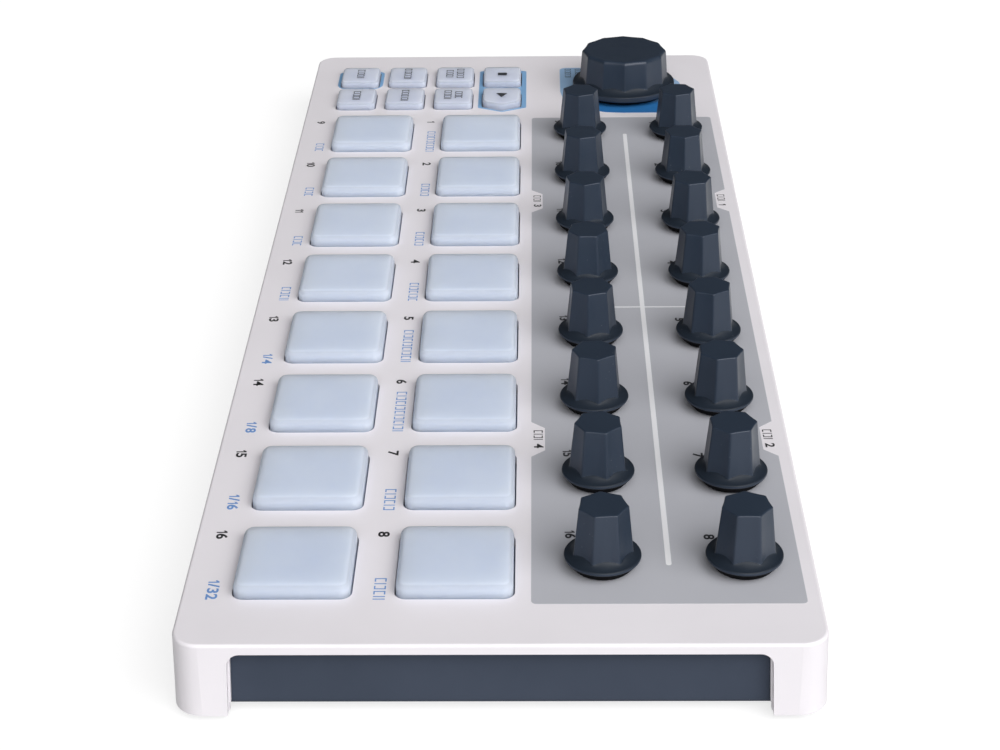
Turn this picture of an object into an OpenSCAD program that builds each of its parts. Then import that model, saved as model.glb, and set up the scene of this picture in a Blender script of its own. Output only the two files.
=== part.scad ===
// Midi pad controller: a flat white case on a dark sheet-metal chassis, with rows of pads,
// endless encoders and buttons. Millimetres, +X along the length, +Y to the back, +Z up,
// origin on the floor under the middle of the case.

/* [Case] */
// Length of the case at its top plate
case_len = 305; // [302:1:325]
// Depth of the case at its top plate, front to back
case_dep = 116.4; // [115:0.1:126]
// Height from the foot of the end legs to the top plate
case_h = 14.9; // [14.4:0.1:20]
// Radius of the upright corners
case_r = 5; // [3.5:0.5:7]
// Rounding of the edge round the top plate
case_edge_r = 0.6; // [0.6:0.1:1.5]
// How far each wall leans out from top to foot
case_lean = 0.5; // [0.1:0.1:1]
// Thickness of the top plate
plate_t = 2; // [1.6:0.1:2.6]
// Thickness of the walls at the top
wall_t = 2.2; // [1.8:0.1:2.8]

/* [End openings] */
// Width of the foot of the leg on each side of an end opening
leg_w = 9.5; // [8.5:0.5:12]
// Depth of the opening's outer step
opening_step = 1.1; // [0.6:0.1:1.4]
// How far the inner lip stands in from the outer step
opening_lip = 0.4; // [0.3:0.1:0.8]
// How far each side of an opening leans out from its upper corner to its foot
opening_lean = 0.5; // [0.2:0.1:0.8]
// Radius of the opening's upper corners
opening_r = 2.4; // [1.5:0.1:3]
// Height above the leg's foot at which the lip stops
lip_stop = 1.7; // [1.5:0.1:3]

/* [Chassis] */
// Thickness of the chassis sheet
sheet_t = 1.2; // [0.8:0.1:1.6]
// Height of the chassis underside above the leg's foot
sheet_rise = 0.3; // [0.1:0.1:0.8]
// Outside radius of the bends
bend_r = 1.5; // [1.3:0.1:2]
// How far the turned-up end reaches behind the lip on each side
panel_lap = 1; // [0.5:0.1:1.5]
// Width of the relief cut at the foot of each turned-up end
relief_w = 0.5; // [0.3:0.1:0.9]
// Height of the feet below the leg's foot
foot_stand = 1.5; // [1.2:0.1:3]
// Radius of a rubber foot
foot_r = 6; // [4:0.5:8]
// Distance from a foot's centre to the case end
foot_from_end = 24; // [20:1:40]
// Distance from a foot's centre to the case side
foot_from_side = 16; // [12:1:20]

/* [Pads] */
// Side of a pad
pad_w = 21.4; // [20:0.1:22.5]
// Radius of a pad's upright corners
pad_r = 2; // [1.5:0.1:3]
// Rounding of a pad's top edge
pad_edge_r = 1.2; // [0.6:0.1:1.4]
// Height of a pad above the top plate
pad_rise = 2.65; // [1.5:0.05:3]
// Gap round a pad in its aperture
pad_gap = 0.3; // [0.25:0.05:0.5]
// Gap between the buttons and the first column of pads
pad_from_buttons = 9.9; // [8:0.05:12]
// Distance between pad rows
pad_pitch_y = 29.65; // [29:0.05:30.5]
// Distance from the right end to the last column's centre
pad_from_end = 25.3; // [24:0.05:26]
// Distance from the front to the front row's centre
pad_from_front = 20.2; // [19.8:0.05:21]
// How far a pad goes down
pad_travel = 0.6; // [0.3:0.1:0.8]
// Width of a pad's retaining flange
pad_flange_w = 1.5; // [1:0.1:1.8]
// Thickness of a pad's retaining flange
pad_flange_t = 1.3; // [1:0.1:2]
// Side of a pad's pressing core
pad_core_w = 17; // [14:0.5:18]
// Radius of the light well in a pad's core
pad_well_r = 4; // [3.2:0.1:5]

/* [Encoders] */
// Distance from the back to the back row's centre
enc_from_back = 13.2; // [13:0.1:14]
// Distance between encoder rows
enc_pitch_y = 26.2; // [25.5:0.1:27]
// Side of an encoder body
enc_body_w = 12; // [11:0.5:13]
// Radius of an encoder body's upright corners
enc_body_r = 1; // [0.5:0.1:1.5]
// Height of an encoder with its cover
enc_body_h = 6.5; // [6:0.1:6.8]
// Thickness of an encoder's metal cover
enc_cover_t = 0.8; // [0.5:0.1:1]
// Radius of an encoder shaft
shaft_r = 3; // [2.5:0.1:3]
// Running clearance of a shaft in its bush, on the radius
shaft_fit = 0.08; // [0.03:0.01:0.1]
// Wall of an encoder's bush
bush_wall = 0.5; // [0.4:0.05:0.6]
// Height of a bush above the top plate
bush_rise = 2.2; // [1.5:0.1:2.4]
// Thickness of the shaft left at its flat
shaft_flat = 4.5; // [4:0.1:5]

/* [Small knobs] */
// Height of a small knob above the top plate
knob_h = 13.3; // [12:0.1:16]
// Radius of a small knob's flange
knob_flange_r = 7.2; // [6.6:0.05:8]
// Radius of a small knob's foot
knob_foot_r = 5.7; // [5:0.1:6.2]
// Radius over a small knob's ridges where they leave the flange
knob_r = 5.8; // [5.2:0.05:6]
// Radius over a small knob's ridges at the top
knob_top_r = 4.85; // [4.5:0.05:5.2]
// Height of a small knob's flange above the top plate, under its rim
knob_low = 2.1; // [1.8:0.1:2.4]
// Height of a small knob's flange rim
knob_rim = 0.8; // [0.8:0.1:1.2]
// Rise of a small knob's flange from its rim to the flutes
knob_flare = 0.7; // [0.5:0.1:1.2]
// Number of flutes round a small knob
knob_flutes = 7; // [6:1:9]
// Radius of the hollow curve of a small knob's flute
knob_flute_r = 24; // [12:1:40]

/* [Large knob] */
// Height of the large knob above the top plate
big_h = 12.6; // [12:0.1:16]
// Radius of the large knob's flange
big_flange_r = 14.55; // [13.5:0.05:16]
// Radius of the large knob's foot
big_foot_r = 12.6; // [12:0.1:13]
// Radius over the large knob's ridges where they leave the flange
big_r = 12.55; // [11.8:0.05:13]
// Radius over the large knob's ridges at the top
big_top_r = 12.05; // [11.5:0.05:12.5]
// Height of the large knob's flange above the top plate, under its rim
big_low = 1.6; // [1.4:0.1:2.2]
// Height of the large knob's flange rim
big_rim = 1.7; // [1:0.1:2]
// Rise of the large knob's flange from its rim to the flutes
big_flare = 1.2; // [0.8:0.1:1.6]
// Number of flutes round the large knob
big_flutes = 12; // [10:1:16]
// Radius of the hollow curve of the large knob's flute
big_flute_r = 40; // [20:1:60]
// Distance from the left end to the large knob's centre
big_from_end = 30.4; // [29:0.1:32]
// Distance from the back to the large knob's centre
big_from_back = 26.2; // [24:0.1:27]
// Wall of the large knob's hub
big_hub_wall = 1.2; // [1:0.1:1.6]
// Wall of the large knob's shell
big_wall = 2; // [1.6:0.1:2.4]

/* [All knobs] */
// Gap between a knob's foot and the top plate
knob_clear = 0.5; // [0.3:0.1:0.8]
// Rounding of the flange's rim
rim_edge_r = 0.35; // [0.2:0.05:0.35]
// Radius of the hollow curve from the flange's rim up to the flutes
flare_r = 3.4; // [3.2:0.1:6]
// Gap between a shaft and its knob
knob_shaft_gap = 0.05; // [0.03:0.01:0.1]
// Thickness of the knob over the shaft's end
knob_roof = 2; // [1.4:0.1:3]

/* [Buttons] */
// Length of a button along the case
button_len = 12.5; // [11:0.1:13]
// Depth of a button, front to back
button_dep = 10.8; // [10:0.1:11]
// Radius of a button's upright corners
button_r = 1.5; // [1:0.1:2]
// Rounding of a button's top edge
button_edge_r = 1; // [0.3:0.05:1.2]
// Height of a button above the top plate
button_rise = 1.9; // [0.9:0.05:2.4]
// Gap round a button in its aperture
button_gap = 0.3; // [0.25:0.05:0.4]
// Distance between button columns
button_pitch_x = 17.5; // [17:0.1:18]
// Distance between button rows
button_pitch_y = 13.8; // [13.7:0.1:14.2]
// Distance from the left end to the left column's centre
button_from_end = 20.8; // [19.5:0.1:21]
// Distance from the front to the front row's centre
button_from_front = 13.8; // [13.4:0.1:14.4]
// How far a button goes down
button_travel = 0.5; // [0.2:0.1:0.6]
// Width of a button's retaining flange
button_flange_w = 0.9; // [0.6:0.1:1]
// Thickness of a button's retaining flange
button_flange_t = 1.2; // [1:0.1:1.6]
// Length of the point on the play button
play_point = 2.1; // [1.5:0.1:3]
// How far the play button's point reaches past the other buttons
play_reach = 1; // [0.5:0.1:1.5]
// Side of a tactile switch
switch_w = 6; // [5:0.5:6.5]
// Height of a tactile switch's body
switch_h = 3.5; // [3:0.1:3.6]
// Height of a switch's plunger over its body
plunger_h = 0.8; // [0.5:0.1:1]

/* [Inside] */
// Clearance between a flange or cover and the top plate's underside
under_gap = 0.3; // [0.2:0.05:0.4]
// Least gap left under a pressed pad or button
press_gap = 0.3; // [0.2:0.05:0.4]
// Thickness of the circuit board
board_t = 1.6; // [1:0.1:2]
// Distance from the board's ends to the case ends
board_from_end = 11.5; // [11:0.5:13]
// How far the board's tab reaches past the sockets that it carries, on each side
tab_margin = 1; // [0.5:0.1:2]
// Distance from the board's long edges to the case sides
board_from_side = 3.5; // [3:0.1:4]
// Thickness of the pad sensor sheet
sensor_t = 0.4; // [0.2:0.1:0.6]
// How far the sensor sheet reaches past the pads' cores
sensor_margin = 1; // [0.5:0.1:2]
// Height of a pad lamp
lamp_h = 1.4; // [1:0.1:2]
// Side of a pad lamp
lamp_w = 3.2; // [2:0.1:3.6]
// Radius of a screw boss for the chassis
boss_r = 2.5; // [2.2:0.1:2.6]
// Radius of a screw boss for the board
board_boss_r = 2.2; // [2:0.1:2.4]
// Distance from a corner boss to the case end
boss_from_end = 7.5; // [7:0.1:8.2]
// Distance from the bosses to the case sides
boss_from_side = 5.4; // [5:0.1:5.6]
// Radius of a screw's shank
screw_r = 1.2; // [1:0.1:1.3]
// Gap round a screw's shank
screw_gap = 0.1; // [0.05:0.05:0.2]
// Radius of a screw's head
screw_head_r = 2.4; // [2:0.1:2.5]
// Height of a screw's head
screw_head_h = 1.1; // [0.8:0.1:1.1]
// Length of a screw's shank
screw_len = 7; // [5:0.5:9]
// Length of a board screw's shank
board_screw_len = 5; // [4:0.5:6]

/* [Sockets] */
// Radius of a jack socket's bore
jack_bore_r = 1.8; // [1.75:0.05:1.9]
// Radius of a jack socket's collar
jack_collar_r = 2.9; // [2.6:0.1:3]
// Width of a jack socket's body
jack_w = 7; // [6.5:0.1:8]
// Height of a jack socket's body
jack_h = 5.6; // [5.5:0.1:6]
// Length of a jack socket's body
jack_len = 13; // [12:0.5:14]
// Distance between jack sockets
jack_pitch = 10.5; // [9.5:0.1:11]
// Distance from the back to the nearest jack socket's centre
jack_from_back = 28; // [27:0.5:30]
// Width of the usb socket's shell
usb_w = 7.7; // [7:0.1:8.2]
// Height of the usb socket's shell
usb_h = 3.9; // [3.5:0.1:4.5]
// Length of the usb socket's shell
usb_len = 9.2; // [8.5:0.1:10]
// Wall of the usb socket's shell
usb_wall = 0.35; // [0.3:0.05:0.5]
// Distance from the back to the usb socket's centre
usb_from_back = 16; // [15.5:0.5:17]
// Gap round a socket in the chassis
socket_gap = 0.3; // [0.2:0.05:0.4]
// Width of the security lock slot
lock_w = 7; // [6.8:0.1:7.2]
// Height of the security lock slot
lock_h = 3; // [2.8:0.1:3.2]
// Distance from the front to the lock slot's centre
lock_from_front = 20; // [16:1:30]

/* [Hidden] */
$fn = 48;
cut = 1;
// How far a slanting side lies inside the round corners that it runs into
side_tuck = 0.01;
half_len = case_len / 2;
half_dep = case_dep / 2;
// Heights, from the floor up
leg_z = foot_stand;
sheet_z = leg_z + sheet_rise;
sheet_top = sheet_z + sheet_t;
plate_z = leg_z + case_h;
under_z = plate_z - plate_t;
hang_z = under_z - under_gap;
board_top = hang_z - enc_body_h;
board_z = board_top - board_t;
// Pads, and the small knobs behind them, stand in two rows of this many columns
pad_cols = 8;
pad_count = 2 * pad_cols;
// Places along and across the case
cav_x = half_len - wall_t;
cav_y = half_dep - wall_t;
cav_r = case_r - wall_t;
sheet_fit = 0.1;
sheet_side_gap = 0.3;
panel_x = cav_x - sheet_fit;
opening_half = half_dep - leg_w - opening_lean;
lip_half = opening_half - opening_lip;
panel_half = lip_half + opening_lean + panel_lap;
opening_top = under_z;
// The columns of pads share out the length between the buttons and the right end
button_cols = 2;
first_pad_x = -half_len + button_from_end + (button_cols - 1) * button_pitch_x
    + (button_len + pad_w) / 2 + pad_from_buttons;
last_pad_x = half_len - pad_from_end;
pad_pitch_x = (last_pad_x - first_pad_x) / (pad_cols - 1);
function pad_x(col) = first_pad_x + (col - 1) * pad_pitch_x;
function pad_y(row) = -half_dep + pad_from_front + (2 - row) * pad_pitch_y;
function enc_y(row) = half_dep - enc_from_back - (row - 1) * enc_pitch_y;
function col_of(i) = (i - 1) % pad_cols + 1;
function row_of(i) = floor((i - 1) / pad_cols) + 1;
function between_cols(col) = pad_x(col) + pad_pitch_x / 2;
big_x = -half_len + big_from_end;
big_y = half_dep - big_from_back;
// How far each small knob has been turned, in degrees
knob_turn = [-6, 1, -11, 4, 6, -13, -10, 25.7, -5, -9, -2, -27, -8, 8, 16, -20];
big_turn = -0.5;
// Buttons, in rows from the back to the front
BUTTONS = [
    "stop_button", "play_button", "mode_button", "sync_button",
    "recall_button", "store_button", "shift_button", "channel_button"
];
button_rows = len(BUTTONS) / button_cols;
function button_x(i) = -half_len + button_from_end + i % button_cols * button_pitch_x;
function button_y(i) = -half_dep + button_from_front
    + (button_rows - 1 - floor(i / button_cols)) * button_pitch_y;
function is_play(i) = BUTTONS[i] == "play_button";
enc_places = concat(
    [for (i = [1 : pad_count]) [pad_x(col_of(i)), enc_y(row_of(i))]],
    [[big_x, big_y]]
);
boss_y = half_dep - boss_from_side;
boss_places = [
    for (x = [-half_len + boss_from_end, between_cols(2), between_cols(6), half_len - boss_from_end],
        y = [-boss_y, boss_y]) [x, y]
];
board_boss_places = [
    for (col = [1, 4, 7],
        y = [(pad_y(1) + pad_y(2)) / 2, (enc_y(2) + pad_y(1)) / 2 + board_boss_r]) [between_cols(col), y]
];
bush_r = shaft_r + shaft_fit + bush_wall;
bush_gap = 0.4;
sensor_top = board_top + sensor_t;
pad_core_z = sensor_top + press_gap + pad_travel;
switch_top = board_top + switch_h + plunger_h;
stem_z = switch_top + press_gap + button_travel;
jack_z = board_top + jack_h / 2;
jack_ys = [for (i = [0 : 2]) half_dep - jack_from_back - i * jack_pitch];
usb_y = half_dep - usb_from_back;
socket_x = -panel_x + sheet_t + socket_gap;

// Rounded rectangle about the origin
module round_rect(len, dep, r) {
    square([len, dep - 2 * r], center = true);
    square([len - 2 * r, dep], center = true);
    for (x = [-1, 1], y = [-1, 1])
        translate([x * (len / 2 - r), y * (dep / 2 - r)])
            circle(r);
}

// Half section of a leaning wall with a rounded top edge, from its middle out to reach at the top
module wall_section(reach, h, lean, edge_r) {
    slope = atan(lean / h);
    touch = [reach - edge_r + edge_r * cos(slope), h - edge_r + edge_r * sin(slope)];
    polygon([[0, 0], [touch.x + touch.y * tan(slope), 0], touch, [reach - edge_r, h], [0, h]]);
    translate([reach - edge_r, h - edge_r])
        intersection() {
            circle(edge_r);
            square(edge_r);
        }
}

module full_section(reach, h, lean, edge_r) {
    wall_section(reach, h, lean, edge_r);
    mirror([1, 0])
        wall_section(reach, h, lean, edge_r);
}

// Block with leaning walls, round upright corners and a rounded top edge, standing on z = 0
module soft_block(len, dep, h, r, lean, edge_r) {
    rotate([90, 0, 90])
        linear_extrude(len - 2 * r, center = true)
            full_section(dep / 2, h, lean, edge_r);
    rotate([90, 0, 0])
        linear_extrude(dep - 2 * r, center = true)
            full_section(len / 2, h, lean, edge_r);
    for (x = [-1, 1], y = [-1, 1])
        translate([x * (len / 2 - r), y * (dep / 2 - r), 0])
            rotate_extrude()
                wall_section(r, h, lean, edge_r);
}

// Outline of a button, grown on every side; the play button ends in a point
module button_outline(i, grow) {
    r = button_r + grow;
    if (is_play(i))
        play_outline(grow);
    else
        round_rect(button_len + 2 * grow, button_dep + 2 * grow, r);
}

// Corner centres of the play button's outline
function play_corners() =
    let (x = button_len / 2 - button_r, y = button_dep / 2 - button_r)
    let (tip = x + play_reach, side = tip - play_point)
    [[-x, -y], [side, -y], [tip, 0], [side, y], [-x, y]];

// Outward direction of the edge from a to b of an outline that runs anticlockwise
function edge_out(a, b) = [b.y - a.y, a.x - b.x] / norm(b - a);

module play_outline(grow) {
    corners = play_corners();
    n = len(corners);
    r = button_r + grow;
    polygon([
        for (i = [0 : n - 1], side = [n - 1, 0])
            corners[i] + (r - side_tuck) * edge_out(corners[(i + side) % n], corners[(i + side + 1) % n])
    ]);
    for (c = corners)
        translate(c)
            circle(r);
}

// Screw with its head down at z = 0 and its shank up, cross recess in the head
module screw(shank_len) {
    slot_w = screw_head_r / 4;
    difference() {
        union() {
            translate([0, 0, -screw_head_h])
                cylinder(r = screw_head_r, h = screw_head_h);
            cylinder(r = screw_r, h = shank_len);
        }
        for (a = [0, 90])
            rotate([0, 0, a])
                translate([0, 0, -screw_head_h])
                    cube([1.3 * screw_head_r, slot_w, screw_head_h], center = true);
    }
}

// Fluted knob with a flared flange, standing on the top plate; the ridges between the flutes are blunt
module knob_cap(h, flange_r, foot_r, low_r, top_r, low, rim, flare, flutes, flute_r) {
    crest_z = low + rim + flare;
    half_turn = 180 / flutes;
    ridge_blunt = 0.12;
    flute_bite = 0.1;
    function flute_axis(r) = r * cos(half_turn) + sqrt(pow(flute_r, 2) - pow(r * sin(half_turn), 2));
    low_axis = flute_axis(low_r);
    tilt = atan((low_axis - flute_axis(top_r)) / (h - crest_z));
    difference() {
        rotate_extrude()
            knob_section(h, flange_r, foot_r, low_r - ridge_blunt, top_r - ridge_blunt, low, rim, flare);
        for (i = [0 : flutes - 1])
            rotate([0, 0, (i + 0.5) * 360 / flutes])
                translate([low_axis, 0, crest_z + flute_r * sin(tilt) - flute_bite])
                    rotate([0, -tilt, 0])
                        cylinder(r = flute_r, h = 2 * h);
    }
}

// Half section of a knob: foot, tapered underside, round-edged rim, hollow flare and tapered body
module knob_section(h, flange_r, foot_r, low_r, top_r, low, rim, flare) {
    rim_r = flange_r - rim_edge_r;
    rim_top = low + rim;
    crest_z = rim_top + flare;
    lean = (low_r - top_r) / (h - crest_z);
    flare_tuck = 0.3;
    flare_in = low_r - flare_tuck;
    chord = [flare_in - rim_r, flare];
    chord_out = [chord.y, -chord.x] / norm(chord);
    polygon([[0, knob_clear], [foot_r, knob_clear], [rim_r, low], [0, low]]);
    difference() {
        polygon([[0, low], [rim_r, low], [rim_r, rim_top], [flare_in, crest_z], [0, crest_z]]);
        translate([rim_r, rim_top] + chord / 2 + chord_out * sqrt(pow(flare_r, 2) - pow(norm(chord) / 2, 2)))
            circle(flare_r);
    }
    polygon([[0, low], [low_r + lean * (crest_z - low), low], [top_r, h], [0, h]]);
    translate([0, low + rim_edge_r])
        square([flange_r, rim - 2 * rim_edge_r]);
    for (z = [low + rim_edge_r, rim_top - rim_edge_r])
        translate([rim_r, z])
            circle(rim_edge_r);
}

// Shaft with a flat, its lower end at foot_z and its upper end at top_z
module encoder_shaft(grow, foot_z, flat_z, top_z) {
    difference() {
        translate([0, 0, foot_z])
            cylinder(r = shaft_r + grow, h = top_z - foot_z);
        translate([shaft_flat - shaft_r + grow, -shaft_r - cut, flat_z])
            cube([2 * shaft_r, 2 * (shaft_r + cut), top_z - flat_z + cut]);
    }
}

// Top case
module top_case() {
    color("whitesmoke")
        difference() {
            union() {
                difference() {
                    translate([0, 0, leg_z])
                        soft_block(case_len, case_dep, case_h, case_r, case_lean, case_edge_r);
                    translate([0, 0, leg_z - cut])
                        linear_extrude(under_z - leg_z + cut)
                            round_rect(2 * cav_x, 2 * cav_y, cav_r);
                    for (side = [-1, 1])
                        end_opening(side);
                }
                for (p = boss_places)
                    translate([p.x, p.y, sheet_top])
                        cylinder(r = boss_r, h = under_z - sheet_top + cut);
                for (p = board_boss_places)
                    translate([p.x, p.y, board_top])
                        cylinder(r = board_boss_r, h = under_z - board_top + cut);
            }
            for (p = boss_places)
                translate([p.x, p.y, sheet_top - cut])
                    cylinder(r = screw_r + screw_gap, h = screw_len + cut);
            for (p = board_boss_places)
                translate([p.x, p.y, board_top - cut])
                    cylinder(r = screw_r + screw_gap, h = board_screw_len + cut);
            for (i = [1 : pad_count])
                translate([pad_x(col_of(i)), pad_y(row_of(i)), under_z - cut])
                    linear_extrude(plate_t + 2 * cut)
                        round_rect(pad_w + 2 * pad_gap, pad_w + 2 * pad_gap, pad_r + pad_gap);
            for (i = [0 : len(BUTTONS) - 1])
                translate([button_x(i), button_y(i), under_z - cut])
                    linear_extrude(plate_t + 2 * cut)
                        button_outline(i, button_gap);
            for (p = enc_places)
                translate([p.x, p.y, under_z - cut])
                    cylinder(r = bush_r + bush_gap, h = plate_t + 2 * cut);
        }
}

// Arched opening through one end wall: a wide outer step, then a narrower lip
module end_opening(side) {
    outer_x = half_len - opening_step;
    reach = opening_step + case_lean + cut;
    arch(side, outer_x, reach, opening_half, leg_z - cut);
    arch(side, cav_x - cut, half_len - cav_x + cut, lip_half, leg_z - cut);
    translate([side * (cav_x + (outer_x - cav_x) / 2), 0, leg_z + lip_stop / 2 - cut / 2])
        cube([outer_x - cav_x + 2 * cut, 2 * opening_half + opening_lean, lip_stop + cut], center = true);
}

// Arch-shaped cutter with leaning sides, from x outwards on one end
module arch(side, x, depth, half, foot_z) {
    height = opening_top - foot_z;
    shoulder = half - side_tuck;
    foot = half + opening_lean;
    mirror([side < 0 ? 1 : 0, 0, 0])
        translate([x, 0, foot_z])
            rotate([90, 0, 90])
                linear_extrude(depth) {
                    polygon([
                        [-foot, 0], [foot, 0],
                        [shoulder, height - opening_r], [-shoulder, height - opening_r]
                    ]);
                    translate([-half + opening_r, 0])
                        square([2 * (half - opening_r), height]);
                    for (y = [-1, 1])
                        translate([y * (half - opening_r), height - opening_r])
                            circle(opening_r);
                }
}

// Steel chassis: flat underside with both ends turned up behind the arched openings
module base_chassis() {
    panel_top = opening_top - sheet_fit;
    flat_len = 2 * (panel_x - bend_r - sheet_side_gap);
    color("darkslategray")
        difference() {
            union() {
                translate([0, 0, sheet_z])
                    linear_extrude(sheet_t)
                        round_rect(flat_len, 2 * (cav_y - sheet_side_gap), cav_r);
                rotate([90, 0, 0])
                    linear_extrude(2 * panel_half, center = true)
                        chassis_section(panel_top);
            }
            for (x = [-1, 1], y = [-1, 1])
                translate([x * panel_x, y * panel_half, sheet_z])
                    cube([2 * (bend_r + sheet_side_gap), 2 * relief_w, 2 * lip_stop], center = true);
            for (p = boss_places)
                translate([p.x, p.y, sheet_z - cut])
                    cylinder(r = screw_r + screw_gap, h = sheet_t + 2 * cut);
            for (y = jack_ys)
                translate([-panel_x - cut, y, jack_z])
                    rotate([0, 90, 0])
                        cylinder(r = jack_collar_r + socket_gap, h = sheet_t + 2 * cut);
            translate([-panel_x + sheet_t / 2, usb_y, board_top + usb_h / 2])
                cube([sheet_t + 2 * cut, usb_w + 2 * socket_gap, usb_h + 2 * socket_gap], center = true);
            translate([-panel_x + sheet_t / 2, -half_dep + lock_from_front, (sheet_top + panel_top) / 2])
                cube([sheet_t + 2 * cut, lock_w, lock_h], center = true);
        }
}

// Section along the length: a shallow U with rounded outer bends
module chassis_section(panel_top) {
    difference() {
        chassis_outline(panel_x, sheet_z, panel_top, bend_r);
        chassis_outline(panel_x - sheet_t, sheet_top, panel_top + cut, bend_r - sheet_t);
    }
}

module chassis_outline(half, low, high, r) {
    translate([-half, low + r])
        square([2 * half, high - low - r]);
    translate([-half + r, low])
        square([2 * (half - r), r + cut]);
    for (x = [-1, 1])
        translate([x * (half - r), low + r])
            circle(r);
}

// Rubber feet under the chassis
module rubber_feet() {
    edge = sheet_z / 4;
    color("black")
        for (x = [-1, 1], y = [-1, 1])
            translate([x * (half_len - foot_from_end), y * (half_dep - foot_from_side), 0])
                rotate_extrude() {
                    square([foot_r - edge, sheet_z]);
                    translate([0, edge])
                        square([foot_r, sheet_z - edge]);
                    translate([foot_r - edge, edge])
                        circle(edge);
                }
}

// Screws that hold the chassis to the case
module case_screws() {
    color("dimgray")
        for (p = boss_places)
            translate([p.x, p.y, sheet_z])
                screw(sheet_t + screw_len - cut);
}

// Circuit board, notched round the case bosses and hung from its own, with a tab under the sockets
module main_board() {
    tab_low = min(jack_ys) - jack_w / 2 - tab_margin;
    tab_high = usb_y + usb_w / 2 + tab_margin;
    color("darkgreen")
        translate([0, 0, board_z])
            linear_extrude(board_t)
                difference() {
                    union() {
                        square(
                            [case_len - 2 * board_from_end, case_dep - 2 * board_from_side],
                            center = true
                        );
                        translate([socket_x, tab_low])
                            square([half_len, tab_high - tab_low]);
                    }
                    for (p = boss_places)
                        translate(p)
                            circle(boss_r + bush_gap);
                    for (p = board_boss_places)
                        translate(p)
                            circle(screw_r + screw_gap);
                }
}

// Screws that hold the board to the case
module board_screws() {
    color("silver")
        for (p = board_boss_places)
            translate([p.x, p.y, board_z])
                screw(board_t + board_screw_len - cut);
}

// Plastic bodies of the encoders, each with a blind hole for its shaft
module encoder_bodies() {
    floor_t = 1;
    color("royalblue")
        for (p = enc_places)
            translate([p.x, p.y, board_top])
                difference() {
                    linear_extrude(enc_body_h - enc_cover_t)
                        round_rect(enc_body_w, enc_body_w, enc_body_r);
                    translate([0, 0, floor_t])
                        cylinder(r = shaft_r + shaft_fit, h = enc_body_h);
                }
}

// Metal covers of the encoders with the bushes that the shafts turn in
module encoder_bushes() {
    color("silver")
        for (p = enc_places)
            translate([p.x, p.y, hang_z - enc_cover_t])
                difference() {
                    union() {
                        linear_extrude(enc_cover_t)
                            round_rect(enc_body_w, enc_body_w, enc_body_r);
                        cylinder(r = bush_r, h = plate_z + bush_rise - hang_z + enc_cover_t);
                    }
                    translate([0, 0, -cut])
                        cylinder(r = shaft_r + shaft_fit, h = case_h + 2 * cut);
                }
}

// Pressure sensor sheet under the pads
module pad_sensor_sheet() {
    side = pad_core_w + 2 * sensor_margin;
    color("goldenrod")
        translate([0, 0, board_top])
            linear_extrude(sensor_t)
                difference() {
                    translate([(pad_x(1) + pad_x(pad_cols)) / 2, (pad_y(1) + pad_y(2)) / 2])
                        square(
                            [pad_x(pad_cols) - pad_x(1) + side, pad_pitch_y + side],
                            center = true
                        );
                    for (i = [1 : pad_count])
                        translate([pad_x(col_of(i)), pad_y(row_of(i))])
                            circle(pad_well_r);
                    for (p = board_boss_places)
                        translate(p)
                            circle(board_boss_r + bush_gap);
                }
}

// Lamps under the pads
module pad_lamps() {
    color("white")
        for (i = [1 : pad_count])
            translate([pad_x(col_of(i)), pad_y(row_of(i)), board_top + lamp_h / 2])
                cube([lamp_w, lamp_w, lamp_h], center = true);
}

// Tactile switches under the buttons
module button_switches() {
    plunger_r = switch_w / 4;
    color("dimgray")
        for (i = [0 : len(BUTTONS) - 1])
            translate([button_x(i), button_y(i), board_top]) {
                translate([0, 0, switch_h / 2])
                    cube([switch_w, switch_w, switch_h], center = true);
                cylinder(r = plunger_r, h = switch_h + plunger_h);
            }
}

// Chips on the board between the encoders
module board_chips() {
    chip_w = 9;
    chip_t = 1.4;
    y = (enc_y(1) + enc_y(2)) / 2;
    color([0.12, 0.12, 0.13])
        for (col = [2, 4, 6])
            translate([between_cols(col), y, board_top + chip_t / 2])
                cube([chip_w, chip_w, chip_t], center = true);
}

// Usb socket: a folded shell with a tongue inside, open to the left
module usb_socket() {
    tongue_t = 0.8;
    color("silver")
        translate([-panel_x, usb_y, board_top + usb_h / 2]) {
            difference() {
                translate([usb_len / 2, 0, 0])
                    cube([usb_len, usb_w, usb_h], center = true);
                translate([(usb_len - cut) / 2 - cut, 0, 0])
                    cube([usb_len, usb_w - 2 * usb_wall, usb_h - 2 * usb_wall], center = true);
            }
            translate([usb_len / 2 + usb_wall, 0, 0])
                cube([usb_len - 2 * usb_wall, usb_w / 2, tongue_t], center = true);
        }
}

// Jack sockets: a body on the board with a collar through the chassis
module jack_sockets() {
    bore_len = jack_len - 1;
    color([0.15, 0.15, 0.16])
        for (y = jack_ys)
            translate([socket_x, y, jack_z])
                difference() {
                    union() {
                        translate([jack_len / 2, 0, 0])
                            cube([jack_len, jack_w, jack_h], center = true);
                        translate([-socket_x - panel_x, 0, 0])
                            rotate([0, 90, 0])
                                cylinder(r = jack_collar_r - socket_gap / 2, h = socket_x + panel_x + cut);
                    }
                    translate([-socket_x - panel_x - cut, 0, 0])
                        rotate([0, 90, 0])
                            cylinder(r = jack_bore_r, h = socket_x + panel_x + bore_len + cut);
                }
}

// Small encoder knob with its shaft
module encoder_knob(i) {
    color("darkslategray")
        translate([enc_places[i - 1].x, enc_places[i - 1].y, plate_z])
            rotate([0, 0, knob_turn[i - 1]]) {
                difference() {
                    knob_cap(
                        knob_h, knob_flange_r, knob_foot_r, knob_r, knob_top_r,
                        knob_low, knob_rim, knob_flare, knob_flutes, knob_flute_r
                    );
                    knob_bore(knob_h, bush_r + bush_gap);
                }
                knob_shaft(knob_h);
            }
}

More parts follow.
